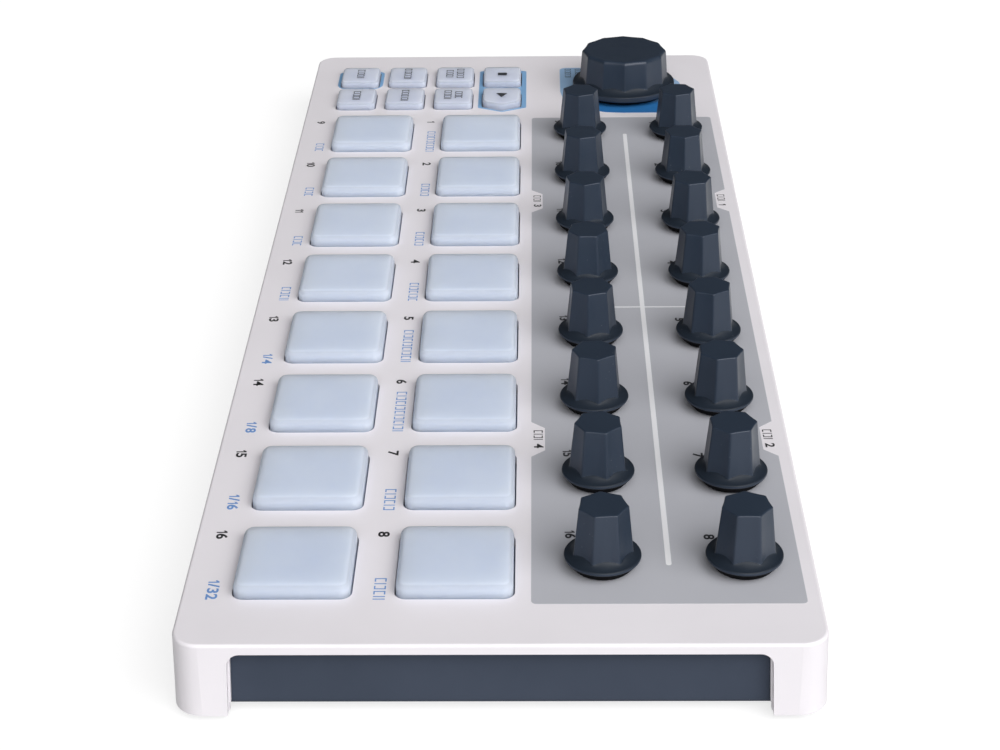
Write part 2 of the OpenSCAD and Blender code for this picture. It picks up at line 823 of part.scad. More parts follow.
// Hollow under a knob, and the hole that its shaft sits in
module knob_bore(h, well_r) {
    well_top = bush_rise + knob_clear;
    translate([0, 0, knob_clear - cut])
        cylinder(r = well_r, h = well_top - knob_clear + cut);
    encoder_shaft(knob_shaft_gap, 0, well_top, h - knob_roof);
}

module knob_shaft(h) {
    foot_gap = 1.5;
    encoder_shaft(
        0, board_top + foot_gap - plate_z, bush_rise + knob_clear / 2, h - knob_roof - 2 * knob_shaft_gap
    );
}

// Large encoder knob with its shaft; its shell is hollow round a hub
module large_knob() {
    hub_r = bush_r + bush_gap + big_hub_wall;
    color("darkslategray")
        translate([big_x, big_y, plate_z])
            rotate([0, 0, big_turn]) {
                difference() {
                    knob_cap(
                        big_h, big_flange_r, big_foot_r, big_r, big_top_r,
                        big_low, big_rim, big_flare, big_flutes, big_flute_r
                    );
                    difference() {
                        translate([0, 0, knob_clear - cut])
                            cylinder(r = big_top_r - big_wall, h = big_h - big_wall - knob_clear + cut);
                        cylinder(r = hub_r, h = big_h);
                    }
                    knob_bore(big_h, bush_r + bush_gap);
                }
                knob_shaft(big_h);
            }
}

// Pressure pad: a soft head, a flange under the plate and a pressing core with a light well
module pad(i) {
    flange = pad_w + 2 * pad_flange_w;
    well_h = 4;
    color("aliceblue")
        translate([pad_x(col_of(i)), pad_y(row_of(i)), 0])
            difference() {
                union() {
                    translate([0, 0, hang_z - cut])
                        soft_block(pad_w, pad_w, plate_z + pad_rise - hang_z + cut, pad_r, 0, pad_edge_r);
                    translate([0, 0, hang_z - pad_flange_t])
                        linear_extrude(pad_flange_t)
                            round_rect(flange, flange, pad_r);
                    translate([0, 0, pad_core_z])
                        linear_extrude(hang_z - pad_core_z)
                            round_rect(pad_core_w, pad_core_w, pad_r);
                }
                translate([0, 0, pad_core_z - cut])
                    cylinder(r = pad_well_r, h = well_h + cut);
            }
}

// Button: a cap with a flange under the plate and a short stem over its switch
module button(i) {
    stem_r = switch_w / 3;
    color("aliceblue")
        translate([button_x(i), button_y(i), 0]) {
            translate([0, 0, hang_z - button_flange_t])
                button_head(i);
            translate([0, 0, hang_z - button_flange_t])
                linear_extrude(button_flange_t)
                    button_outline(i, button_flange_w);
            translate([0, 0, stem_z])
                cylinder(r = stem_r, h = hang_z - stem_z);
        }
}

module button_head(i) {
    h = plate_z + button_rise - hang_z + button_flange_t;
    if (is_play(i))
        hull()
            for (c = play_corners())
                translate(c)
                    rotate_extrude($fn = 32)
                        wall_section(button_r, h, 0, button_edge_r);
    else
        soft_block(button_len, button_dep, h, button_r, 0, button_edge_r);
}

top_case();
base_chassis();
rubber_feet();
case_screws();
main_board();
board_screws();
encoder_bodies();
encoder_bushes();
pad_sensor_sheet();
pad_lamps();
button_switches();
board_chips();
usb_socket();
jack_sockets();
large_knob();
for (i = [1 : pad_count]) {
    encoder_knob(i);
    pad(i);
}
for (i = [0 : len(BUTTONS) - 1])
    button(i);
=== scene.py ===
"""Midi pad controller: finishes, printed marks, knobs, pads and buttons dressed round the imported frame."""
import math

import bmesh
import bpy
from mathutils import Matrix, Vector


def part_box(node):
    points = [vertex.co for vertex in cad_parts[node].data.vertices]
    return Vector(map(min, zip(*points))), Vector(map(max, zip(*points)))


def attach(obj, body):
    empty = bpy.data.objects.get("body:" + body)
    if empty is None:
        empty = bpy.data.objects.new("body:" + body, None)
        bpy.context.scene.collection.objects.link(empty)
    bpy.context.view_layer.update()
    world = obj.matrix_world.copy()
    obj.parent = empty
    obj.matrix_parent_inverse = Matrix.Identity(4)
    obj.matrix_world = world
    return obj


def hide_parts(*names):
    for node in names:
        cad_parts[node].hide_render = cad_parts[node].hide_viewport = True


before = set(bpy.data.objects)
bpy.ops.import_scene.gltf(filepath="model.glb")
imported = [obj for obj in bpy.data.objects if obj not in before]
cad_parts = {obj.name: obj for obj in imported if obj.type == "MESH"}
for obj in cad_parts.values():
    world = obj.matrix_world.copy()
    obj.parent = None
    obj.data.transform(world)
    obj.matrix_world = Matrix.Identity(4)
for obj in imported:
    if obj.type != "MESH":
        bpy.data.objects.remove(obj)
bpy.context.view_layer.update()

# Sizes are in millimetres and places in the frame of the part, +X along the length and +Y to the back
MM = 0.001
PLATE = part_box("top_case")[1].z / MM
PLATE_THICK = 2
COLUMNS = 8
# Pads and small knobs stand in two rows and bear the same numbers
NUMBERS = range(1, 2 * COLUMNS + 1)

# Photographed view, for an image of 1000 by 750 pixels; the clip range is in metres
CAMERA_AT = (458.91, 6.92, 233.44)
CAMERA_PITCH = math.radians(28.0685)
CAMERA_YAW = math.radians(1.1467)
CAMERA_ROLL = math.radians(-0.7784)
CAMERA_LENS = 76.61
SENSOR_WIDTH = 36
CLIP_RANGE = (0.01, 20)

# Knobs: heights count from the top plate, and each small knob stands turned as photographed, in degrees
KNOB_TURNS = (-6, 1, -11, 4, 6, -13, -10, 25.7, -5, -9, -2, -27, -8, 8, 16, -20)
LARGE_TURN = -0.5
# Radii of the flutes, foot, ridges and flange, then the flange's underside, rim and flare, and the top edge
SMALL_KNOB = dict(
    flutes=7, flute_r=24, foot_r=5.7, low_r=5.8, top_r=4.85, flange_r=7.2,
    low=2.1, rim=0.8, flare=0.7, edge=0.28,
)
LARGE_KNOB = dict(
    flutes=12, flute_r=40, foot_r=12.6, low_r=12.55, top_r=12.05, flange_r=14.55,
    low=1.6, rim=1.7, flare=1.2, edge=1,
)
# Shaft, the well round it, and the gap between foot and plate
SHAFT_R = 3
WELL_R = 4
WELL_TOP = 2.7
KNOB_CLEAR = 0.5
# Rim of the flange: its rounding, the angle in degrees at which that starts, and its steps below and above
RIM_EDGE = 0.35
RIM_START = -60
RIM_STEPS = (3, 4)
# Flare from the rim up to the ridges: it ends inside their foot, and runs on above that as it is blended in
FLARE_R = 3.4
FLARE_TUCK = 0.3
FLARE_OVER = 0.6
FLARE_RINGS = 12
FLARE_FILLET = 0.14
# Ridges and top edge; a point is on a ridge when it is within this angle of it, in radians
STEPS_PER_FLUTE = 8
RIDGE_BEVEL = 0.26
RIDGE_STEPS = 3
RIDGE_WITHIN = 0.01
EDGE_STEPS = 4
CROWN_INSET = 0.5
# Material slots of a knob's other finishes: steel on the shaft, and painted shade, near-black on the foot and
# underside and darker slate on the flange's upper faces, which look up by more than this
FOOT_SHADE_SLOT = 1
SHAFT_STEEL_SLOT = 2
FLANGE_SHADE_SLOT = 3
FLANGE_SHADE_NORMAL = 0.3

# Pads and buttons: a flange has a width and a thickness, and a pad's well a radius and a depth
PAD_SIDE = 21.4
PAD_CORNER = 2
PAD_EDGE = 1.2
PAD_FLANGE = (1.5, 1.3)
PAD_CORE = 17
PAD_WELL = (4, 4)
PAD_CROWN = 0.12
BUTTON_SIZE = (12.5, 10.8)
BUTTON_CORNER = 1.5
BUTTON_EDGE = 0.6
BUTTON_FLANGE = (0.9, 1.2)
BUTTON_GAP = 0.3
BUTTON_CROWN = 0.02
STEM_R = 2
# Flanges stay clear of the plate's underside
FLANGE_GAP = 0.3
FLANGE_TOP = PLATE - PLATE_THICK - FLANGE_GAP
# The play button's tip reaches past the side of the other buttons, and its shoulders lie behind the tip
PLAY_REACH = 1
PLAY_POINT = 2.1
# Steps of rounded corners and edges, width at which an inset starts, and digits by which levels are compared
CORNER_STEPS = 6
CAP_EDGE_STEPS = 5
INSET_START = 0.1
LEVEL_DIGITS = 4
BUTTONS = (
    "stop_button", "play_button", "mode_button", "sync_button",
    "recall_button", "store_button", "shift_button", "channel_button",
)

# Faces that meet at less than this angle are shaded as one surface
SMOOTH_ANGLE = math.radians(40)


def middle(node):
    """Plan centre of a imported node, in millimetres."""
    low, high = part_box(node)
    return Vector(((low.x + high.x) / 2 / MM, (low.y + high.y) / 2 / MM))


PAD_AT = {number: middle(f"pad_{number}") for number in NUMBERS}
KNOB_AT = {number: middle(f"encoder_knob_{number}") for number in NUMBERS}
LARGE_AT = middle("large_knob")
# The play button's point lengthens its box, so its middle moves back by half of that
BUTTON_AT = {name: middle(name) for name in BUTTONS}
BUTTON_AT["play_button"].x -= PLAY_REACH / 2
BUTTON_END, BUTTON_TOP = (corner.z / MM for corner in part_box("stop_button"))

# Sockets of a Mix node that are used for colour
MIX_FACTOR = 0
MIX_FIRST = 6
MIX_SECOND = 7
MIX_RESULT = 2


# Node helpers
def add(tree, kind, **values):
    """New shader node; values are its settings or, where it has such a socket, its inputs."""
    node = tree.nodes.new("ShaderNode" + kind)
    for name, value in values.items():
        label = name.replace("_", " ").title()
        if label in node.inputs:
            node.inputs[label].default_value = value
        else:
            setattr(node, name, value)
    return node


def start_group(name, inputs, outputs):
    """Empty shader node group with float or colour sockets."""
    tree = bpy.data.node_groups.new(name, "ShaderNodeTree")
    kinds = {float: "NodeSocketFloat", tuple: "NodeSocketColor"}
    for label, value in inputs.items():
        socket = tree.interface.new_socket(label, in_out="INPUT", socket_type=kinds[type(value)])
        socket.default_value = value
    for label, kind in outputs.items():
        tree.interface.new_socket(label, in_out="OUTPUT", socket_type=kinds[kind])
    return tree, tree.nodes.new("NodeGroupInput"), tree.nodes.new("NodeGroupOutput")


def mixed(tree, factor, first, second):
    """Colour mixed from first to second; each may be a socket or a plain colour."""
    node = add(tree, "Mix", data_type="RGBA")
    for index, value in ((MIX_FACTOR, factor), (MIX_FIRST, first), (MIX_SECOND, second)):
        if hasattr(value, "is_linked"):
            tree.links.new(value, node.inputs[index])
        else:
            node.inputs[index].default_value = value
    return node.outputs[MIX_RESULT]


def ranged(tree, value, low, high, out_low, out_high):
    """A value's range from low to high, stretched to run from out_low to out_high."""
    node = add(tree, "MapRange", From_Min=low, From_Max=high, To_Min=out_low, To_Max=out_high)
    tree.links.new(value, node.inputs["Value"])
    return node.outputs["Result"]


def product(tree, first, second):
    """Two values multiplied."""
    node = add(tree, "Math", operation="MULTIPLY")
    tree.links.new(first, node.inputs[0])
    tree.links.new(second, node.inputs[1])
    return node.outputs[0]


# Moulded grain: bands of noise that become tone, flecks and gloss, and the grain's depth in metres
TONE_BAND = (0.35, 0.65)
FLECK_BAND = (0.62, 0.75)
FLECK_SHARE = 0.25
GLOSS_BAND = (0.3, 0.7)
GLOSS_SCALE = 160.0
GRAIN_DEPTH = 0.00005

# Dust: the soft rim of a speck, and the noise by which specks gather
SPECK_RIM = (0.08, 0.16)
DRIFT_BAND = (0.55, 0.7)
DRIFT_SCALE = 120.0
DUST_GREY = (0.55, 0.55, 0.56, 1)


def moulded_grain():
    """Spark-eroded mould texture: a fine height, a slow change of tone and a change of gloss."""
    tree, source, result = start_group(
        "moulded_grain",
        {"Grain Scale": 3000.0, "Tone Scale": 25.0, "Light": (0.8, 0.8, 0.8, 1), "Dark": (0.7, 0.7, 0.7, 1),
         "Smooth": 0.4, "Rough": 0.5},
        {"Colour": tuple, "Height": float, "Roughness": float},
    )
    place = add(tree, "TexCoord").outputs["Object"]
    grain = add(tree, "TexNoise", Detail=3.0, Roughness=0.6)
    tone = add(tree, "TexNoise", Detail=4.0, Roughness=0.55)
    gloss = add(tree, "TexNoise", Detail=2.0, Scale=GLOSS_SCALE)
    for noise in (grain, tone, gloss):
        tree.links.new(place, noise.inputs["Vector"])
    tree.links.new(source.outputs["Grain Scale"], grain.inputs["Scale"])
    tree.links.new(source.outputs["Tone Scale"], tone.inputs["Scale"])
    spread = ranged(tree, tone.outputs["Fac"], *TONE_BAND, 0, 1)
    colour = mixed(tree, spread, source.outputs["Dark"], source.outputs["Light"])
    fleck = ranged(tree, grain.outputs["Fac"], *FLECK_BAND, 0, FLECK_SHARE)
    colour = mixed(tree, fleck, colour, source.outputs["Dark"])
    tree.links.new(colour, result.inputs["Colour"])
    tree.links.new(grain.outputs["Fac"], result.inputs["Height"])
    shine = add(tree, "MapRange", From_Min=GLOSS_BAND[0], From_Max=GLOSS_BAND[1])
    tree.links.new(gloss.outputs["Fac"], shine.inputs["Value"])
    tree.links.new(source.outputs["Smooth"], shine.inputs["To Min"])
    tree.links.new(source.outputs["Rough"], shine.inputs["To Max"])
    tree.links.new(shine.outputs["Result"], result.inputs["Roughness"])
    return tree


def dust_specks():
    """Sparse pale specks with soft rims, as dust and lint settle on dark or soft surfaces."""
    tree, source, result = start_group("dust_specks", {"Scale": 900.0, "Amount": 0.5}, {"Mask": float})
    place = add(tree, "TexCoord").outputs["Object"]
    cells = add(tree, "TexVoronoi", feature="F1")
    drift = add(tree, "TexNoise", Scale=DRIFT_SCALE, Detail=2.0)
    tree.links.new(place, cells.inputs["Vector"])
    tree.links.new(source.outputs["Scale"], cells.inputs["Scale"])
    tree.links.new(place, drift.inputs["Vector"])
    specks = ranged(tree, cells.outputs["Distance"], *SPECK_RIM, 1, 0)
    patches = ranged(tree, drift.outputs["Fac"], *DRIFT_BAND, 0, 1)
    amount = product(tree, product(tree, specks, patches), source.outputs["Amount"])
    tree.links.new(amount, result.inputs["Mask"])
    return tree


GRAIN = moulded_grain()
DUST = dust_specks()


def grained(name, light, dark, gloss, grain_scale, bump, tone_scale=25.0, dust=0.0, **shader):
    """Material with moulded grain, and dust where asked; shader sets plain values on its own sockets."""
    material = bpy.data.materials.new(name)
    material.use_nodes = True
    tree = material.node_tree
    surface = tree.nodes["Principled BSDF"]
    grain = add(tree, "Group", node_tree=GRAIN)
    settings = {
        "Light": (*light, 1), "Dark": (*dark, 1), "Smooth": gloss[0], "Rough": gloss[1],
        "Grain Scale": grain_scale, "Tone Scale": tone_scale,
    }
    for label, value in settings.items():
        grain.inputs[label].default_value = value
    colour = grain.outputs["Colour"]
    if dust:
        specks = add(tree, "Group", node_tree=DUST)
        specks.inputs["Amount"].default_value = dust
        colour = mixed(tree, specks.outputs["Mask"], colour, DUST_GREY)
    tree.links.new(colour, surface.inputs["Base Color"])
    tree.links.new(grain.outputs["Roughness"], surface.inputs["Roughness"])
    relief = add(tree, "Bump", Strength=bump, Distance=GRAIN_DEPTH)
    tree.links.new(grain.outputs["Height"], relief.inputs["Height"])
    tree.links.new(relief.outputs["Normal"], surface.inputs["Normal"])
    for label, value in shader.items():
        surface.inputs[label.replace("_", " ")].default_value = value
    return material


# Finishes that show outside
CASE_WHITE = grained("case_white", (0.775, 0.745, 0.78), (0.74, 0.712, 0.745), (0.42, 0.52), 2600.0, 0.25)
CHASSIS_SLATE = grained(
    "chassis_slate", (0.049, 0.061, 0.088), (0.042, 0.053, 0.077), (0.6, 0.7), 1500.0, 0.35,
    Specular_IOR_Level=0.12,
)
KNOB_SLATE = grained(
    "knob_slate", (0.0180, 0.0285, 0.0465), (0.0155, 0.0250, 0.0415), (0.33, 0.41), 3200.0, 0.12,
    tone_scale=70.0, dust=0.10, Specular_IOR_Level=0.42, Specular_Tint=(0.92, 0.92, 1, 1),
)
# Painted shade: near-black on the knob's foot and underside, where the flange's shadow falls
KNOB_FOOT_SHADE = grained(
    "knob_foot_painted_shade", (0.004, 0.004, 0.005), (0.003, 0.003, 0.004), (0.8, 0.9), 1800.0, 0.2,
    Specular_IOR_Level=0.05,
)
# Painted shade: a darker, less glossy copy of the knob's slate for the flange's upper faces
KNOB_FLANGE_SHADE = grained(
    "knob_flange_painted_shade", (0.0110, 0.0170, 0.0270), (0.0095, 0.0150, 0.0240), (0.46, 0.56), 3200.0, 0.12,
    tone_scale=70.0, dust=0.10, Specular_IOR_Level=0.25,
)
PAD_SILICONE = grained(
    "pad_silicone", (0.545, 0.612, 0.755), (0.515, 0.582, 0.73), (0.60, 0.72), 2200.0, 0.15,
    tone_scale=60.0, Specular_IOR_Level=0.15,
    Subsurface_Weight=1, Subsurface_Radius=(1, 1, 1), Subsurface_Scale=0.012,
)
BUTTON_SILICONE = grained(
    "button_silicone", (0.545, 0.585, 0.71), (0.52, 0.56, 0.69), (0.60, 0.72), 2200.0, 0.15,
    tone_scale=90.0, Specular_IOR_Level=0.15,
    Subsurface_Weight=1, Subsurface_Radius=(1, 1, 1), Subsurface_Scale=0.008,
)
PANEL_GREY = grained("panel_grey", (0.44, 0.445, 0.482), (0.415, 0.42, 0.457), (0.36, 0.44), 2600.0, 0.12)
PATCH_BLUE = grained("patch_blue", (0.21, 0.40, 0.64), (0.195, 0.38, 0.615), (0.28, 0.36), 2600.0, 0.12)
# Lighter blue of the large patch: its print with a painted reflection on it
PATCH_REFLECTION = grained("patch_painted_reflection", (0.30, 0.46, 0.67), (0.28, 0.44, 0.645), (0.28, 0.36), 2600.0, 0.12)
LINE_WHITE = grained("line_white", (0.78, 0.78, 0.80), (0.75, 0.75, 0.775), (0.32, 0.40), 2600.0, 0.12)
INK_BLACK = grained("ink_black", (0.012, 0.012, 0.014), (0.008, 0.008, 0.010), (0.35, 0.45), 2600.0, 0.1)
INK_BLUE = grained("ink_blue", (0.14, 0.28, 0.565), (0.125, 0.26, 0.54), (0.35, 0.45), 2600.0, 0.1)
INK_GREY = grained("ink_grey", (0.040, 0.043, 0.052), (0.032, 0.035, 0.043), (0.4, 0.5), 2600.0, 0.1)
FOOT_RUBBER = grained(
    "foot_rubber", (0.016, 0.016, 0.016), (0.011, 0.011, 0.011), (0.65, 0.8), 1800.0, 0.5, dust=0.4
)
SCREW_STEEL = grained(
    "screw_steel", (0.16, 0.16, 0.165), (0.11, 0.11, 0.115), (0.3, 0.45), 900.0, 0.2, Metallic=1
)
BRIGHT_METAL = grained(
    "bright_metal", (0.62, 0.62, 0.64), (0.52, 0.52, 0.545), (0.22, 0.36), 900.0, 0.2, Metallic=1
)

# Finishes of the sockets and of what is inside the case
BOARD_GREEN = grained("board_green", (0.012, 0.085, 0.04), (0.008, 0.06, 0.028), (0.2, 0.32), 700.0, 0.2)
ENCODER_BLUE = grained("encoder_blue", (0.035, 0.075, 0.22), (0.03, 0.06, 0.18), (0.4, 0.5), 2000.0, 0.2)
SENSOR_FILM = grained("sensor_film", (0.46, 0.27, 0.055), (0.40, 0.22, 0.04), (0.25, 0.4), 600.0, 0.1)
LAMP_CLEAR = grained("lamp_clear", (0.82, 0.82, 0.80), (0.76, 0.76, 0.73), (0.12, 0.2), 900.0, 0.05)
SOCKET_BLACK = grained(
    "socket_black", (0.018, 0.018, 0.019), (0.012, 0.012, 0.013), (0.4, 0.52), 2400.0, 0.25
)

# Painted shade darkens the silicone's rounded edges and walls against their tops; the large knob's patch is
# its deep blue print at one edge, and a painted reflection lightens it towards the other
TOP_NORMAL = (0.85, 0.996)
WALL_NORMAL = (0.1, 0.5)
WALL_SHADE_SHARE = 0.65
PATCH_REFLECTION_FADE = (5, 10)
PAD_PAINTED_SHADE = (0.415, 0.463, 0.565)
BUTTON_PAINTED_SHADE = (0.35, 0.38, 0.465)
PATCH_DEEP = (0.028, 0.165, 0.43)


def tint_by(material, share_of, colour):
    """Mixes a colour into a finish by a share, which a function makes from the material's tree; here it
    paints shade and reflection.
    """
    tree = material.node_tree
    socket = tree.nodes["Principled BSDF"].inputs["Base Color"]
    tree.links.new(mixed(tree, share_of(tree), socket.links[0].from_socket, (*colour, 1)), socket)


def upright_share(tree):
    """Share of painted shade: 1 on rounded edges, somewhat less on upright walls and 0 on faces that look up.
    """
    parts = add(tree, "SeparateXYZ")
    tree.links.new(add(tree, "NewGeometry").outputs["Normal"], parts.inputs[0])
    off_top = ranged(tree, parts.outputs["Z"], *TOP_NORMAL, 1, 0)
    on_wall = ranged(tree, parts.outputs["Z"], *WALL_NORMAL, WALL_SHADE_SHARE, 1)
    return product(tree, off_top, on_wall)


def near_edge_share(tree):
    """1 at the edge of the large knob's patch that is towards the last pads, where its deep print shows
    without painted reflection, 0 at its middle and beyond.
    """
    parts = add(tree, "SeparateXYZ")
    tree.links.new(add(tree, "TexCoord").outputs["Object"], parts.inputs[0])
    return ranged(tree, parts.outputs["X"], *((LARGE_AT.x + x) * MM for x in PATCH_REFLECTION_FADE), 0, 1)


# Painted shade on the edges and walls of pads and buttons, and the patch's painted reflection giving way to
# its deep print
tint_by(PAD_SILICONE, upright_share, PAD_PAINTED_SHADE)
tint_by(BUTTON_SILICONE, upright_share, BUTTON_PAINTED_SHADE)
tint_by(PATCH_REFLECTION, near_edge_share, PATCH_DEEP)

# Finishes of the nodes that are carried over from the frame
CASE_NODES = {
    "top_case": CASE_WHITE, "base_chassis": CHASSIS_SLATE,
    "rubber_feet": FOOT_RUBBER, "case_screws": SCREW_STEEL,
    "main_board": BOARD_GREEN, "board_screws": BRIGHT_METAL,
    "encoder_bodies": ENCODER_BLUE, "encoder_bushes": BRIGHT_METAL,
    "pad_sensor_sheet": SENSOR_FILM, "pad_lamps": LAMP_CLEAR,
    "button_switches": SOCKET_BLACK, "board_chips": SOCKET_BLACK,
    "usb_socket": BRIGHT_METAL, "jack_sockets": SOCKET_BLACK,
}
for node, finish in CASE_NODES.items():
    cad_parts[node].data.materials.clear()
    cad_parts[node].data.materials.append(finish)


# Mesh helpers
def piece(name, bm, material, body, stands_for=None):
    """Finished piece: normals outwards, smooth where its faces meet softly, riding on a body."""
    bmesh.ops.recalc_face_normals(bm, faces=bm.faces)
    for face in bm.faces:
        face.smooth = True
    mesh = bpy.data.meshes.new(name)
    bm.to_mesh(mesh)
    bm.free()
    mesh.set_sharp_from_angle(angle=SMOOTH_ANGLE)
    mesh.materials.append(material)
    obj = bpy.data.objects.new(name, mesh)
    bpy.context.scene.collection.objects.link(obj)
    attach(obj, body)
    if stands_for:
        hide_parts(stands_for)
    return obj


def settle(bm, at, turn=0.0):
    """Brings a shape from millimetres about its own axis to its place in the part, in metres."""
    bmesh.ops.rotate(bm, verts=bm.verts, cent=(0, 0, 0), matrix=Matrix.Rotation(math.radians(turn), 3, "Z"))
    bmesh.ops.translate(bm, verts=bm.verts, vec=(at.x, at.y, 0))
    bmesh.ops.scale(bm, verts=bm.verts, vec=(MM, MM, MM))


def arc(centre, radius, first, last, steps):
    """Points along an arc, from angle first to last in degrees."""
    angles = [math.radians(first + (last - first) * i / steps) for i in range(steps + 1)]
    return [(centre[0] + radius * math.cos(a), centre[1] + radius * math.sin(a)) for a in angles]


def with_neighbours(corners):
    """Each corner of an outline with the one before it and the one after it."""
    return zip(corners[-1:] + corners[:-1], corners, corners[1:] + corners[:1])


def rounded(corners, radii):
    """Outline with each corner rounded, all alike or by a list; corners run anticlockwise."""
    points = []
    if not isinstance(radii, (list, tuple)):
        radii = [radii] * len(corners)
    for (before, corner, after), radius in zip(with_neighbours(corners), radii):
        corner = Vector(corner)
        back = (Vector(before) - corner).normalized()
        on = (Vector(after) - corner).normalized()
        half = back.angle(on) / 2
        centre = corner + (back + on).normalized() * radius / math.sin(half)
        first = corner + back * radius / math.tan(half) - centre
        sweep = first.angle_signed(corner + on * radius / math.tan(half) - centre)
        for i in range(CORNER_STEPS + 1):
            points.append(tuple(centre + Matrix.Rotation(-sweep * i / CORNER_STEPS, 2) @ first))
    return points


def box_corners(low_x, high_x, low_y, high_y):
    """Corners of a rectangle, anticlockwise from the low ones."""
    return [(low_x, low_y), (high_x, low_y), (high_x, high_y), (low_x, high_y)]


def around(at, size):
    """Corners of a rectangle about its middle."""
    return box_corners(at[0] - size[0] / 2, at[0] + size[0] / 2, at[1] - size[1] / 2, at[1] + size[1] / 2)


def grown(corners, distance):
    """Outline moved outwards on every side; corners run anticlockwise."""
    result = []
    for before, corner, after in with_neighbours(corners):
        corner = Vector(corner)
        into = (corner - Vector(before)).normalized()
        out_of = (Vector(after) - corner).normalized()
        side = Vector((into.y, -into.x)) + Vector((out_of.y, -out_of.x))
        result.append(tuple(corner + side * distance * 2 / side.length_squared))
    return result


def level(face):
    """Height of a face's middle."""
    return round(face.calc_center_median().z, LEVEL_DIGITS)


def highest(bm):
    """The largest of the highest faces."""
    return max(bm.faces, key=lambda face: (level(face), face.calc_area()))


def lowest(bm):
    """The largest of the lowest faces."""
    return min(bm.faces, key=lambda face: (level(face), -face.calc_area()))


# Knobs
def flute_radius(angle, ridge_r, flutes, flute_r):
    """Distance from the knob's axis to its fluted side at an angle; ridges stand at angle 0 and on."""
    half = math.pi / flutes
    axis = ridge_r * math.cos(half) + math.sqrt(flute_r ** 2 - (ridge_r * math.sin(half)) ** 2)
    from_valley = angle % (2 * half) - half
    return axis * math.cos(from_valley) - math.sqrt(flute_r ** 2 - (axis * math.sin(from_valley)) ** 2)


def knob_rings(size, shaft_low, top):
    """Rings from the shaft's end, over well, foot, rim and flare, to the top.

    Each has a height, the radius of its turned shape and that of its ridges, 0 where it has none.
    """
    rim_r = size["flange_r"] - RIM_EDGE
    rim_top = size["low"] + size["rim"]
    crest = rim_top + size["flare"]
    turned = [
        (SHAFT_R, shaft_low), (SHAFT_R, WELL_TOP), (WELL_R, WELL_TOP), (WELL_R, KNOB_CLEAR),
        (size["foot_r"], KNOB_CLEAR),
    ]
    turned += arc((rim_r, size["low"] + RIM_EDGE), RIM_EDGE, RIM_START, 0, RIM_STEPS[0])
    turned += arc((rim_r, rim_top - RIM_EDGE), RIM_EDGE, 0, 90, RIM_STEPS[1])
    start = Vector((rim_r, rim_top))
    end = Vector((size["low_r"] - FLARE_TUCK, crest))
    chord = end - start
    out = Vector((chord.y, -chord.x)).normalized() * math.sqrt(FLARE_R ** 2 - chord.length_squared / 4)
    centre = (start + end) / 2 + out
    rings = [(height, radius, 0) for radius, height in turned]
    for i in range(1, FLARE_RINGS + 1):
        height = rim_top + (size["flare"] + FLARE_OVER) * i / FLARE_RINGS
        ridge = size["low_r"] + (size["top_r"] - size["low_r"]) * (height - crest) / (top - crest)
        rings.append((height, centre.x - math.sqrt(FLARE_R ** 2 - (height - centre.y) ** 2), ridge))
    edge = size["edge"]
    for reach, height in arc((size["top_r"] - edge, top - edge), edge, 0, 90, EDGE_STEPS):
        rings.append((height, 0, reach))
    return rings


def blended(first, second):
    """The larger of two radii, with a small fillet where they meet."""
    overlap = max(FLARE_FILLET - abs(first - second), 0)
    return max(first, second) + overlap ** 2 / (4 * FLARE_FILLET)


def on_ridge(vert, flutes):
    """Whether a point of a knob is in line with one of its ridges."""
    angle = math.atan2(vert.co.y, vert.co.x)
    return abs(math.remainder(angle, 2 * math.pi / flutes)) < RIDGE_WITHIN


def edges_among(bm, verts):
    """Edges with both ends in a set of vertices."""
    return [e for e in bm.edges if e.verts[0] in verts and e.verts[1] in verts]


def knob_shape(size, shaft_low, top):
    """Knob about its own axis: rings extruded one from another, closed at both ends, with softened ridges."""
    flutes = size["flutes"]
    bm = bmesh.new()
    ring = bmesh.ops.create_circle(bm, segments=flutes * STEPS_PER_FLUTE, radius=1)["verts"]
    rings = []
    fluted = set()
    for height, turned, ridge in knob_rings(size, shaft_low, top):
        if rings:
            new = bmesh.ops.extrude_edge_only(bm, edges=edges_among(bm, rings[-1]))["geom"]
            ring = [v for v in new if isinstance(v, bmesh.types.BMVert)]
        for vert in ring:
            angle = math.atan2(vert.co.y, vert.co.x)
            reach = blended(turned, flute_radius(angle, ridge, flutes, size["flute_r"])) if ridge else turned
            vert.co = (reach * math.cos(angle), reach * math.sin(angle), PLATE + height)
        rings.append(set(ring))
        if ridge > turned:
            fluted |= rings[-1]
    for end in (rings[0], rings[-1]):
        bmesh.ops.edgeloop_fill(bm, edges=edges_among(bm, end))
    ridges = [e for e in edges_among(bm, fluted) if all(on_ridge(v, flutes) for v in e.verts)]
    bmesh.ops.bevel(
        bm, geom=ridges, offset=RIDGE_BEVEL, segments=RIDGE_STEPS, profile=0.5, affect="EDGES", material=-1
    )
    bmesh.ops.inset_region(bm, faces=[highest(bm)], thickness=CROWN_INSET, use_even_offset=True)
    bmesh.ops.recalc_face_normals(bm, faces=bm.faces)
    return bm


def finish_knob(bm, size):
    """Gives the shaft its steel, and paints shade on the foot and underside as near-black and on the flange's
    upper side as darker slate.
    """
    flare_end = PLATE + size["low"] + size["rim"] + size["flare"] + FLARE_OVER
    for face in bm.faces:
        middle_at = face.calc_center_median()
        if middle_at.xy.length < SHAFT_R:
            face.material_index = SHAFT_STEEL_SLOT if middle_at.z < PLATE + WELL_TOP else 0
        # The foot and underside take painted shade, near-black; the flange's upward faces below take painted
        # shade, darker slate
        elif middle_at.z < PLATE + size["low"]:
            face.material_index = FOOT_SHADE_SLOT
        elif middle_at.z < flare_end and face.normal.z > FLANGE_SHADE_NORMAL:
            face.material_index = FLANGE_SHADE_SLOT


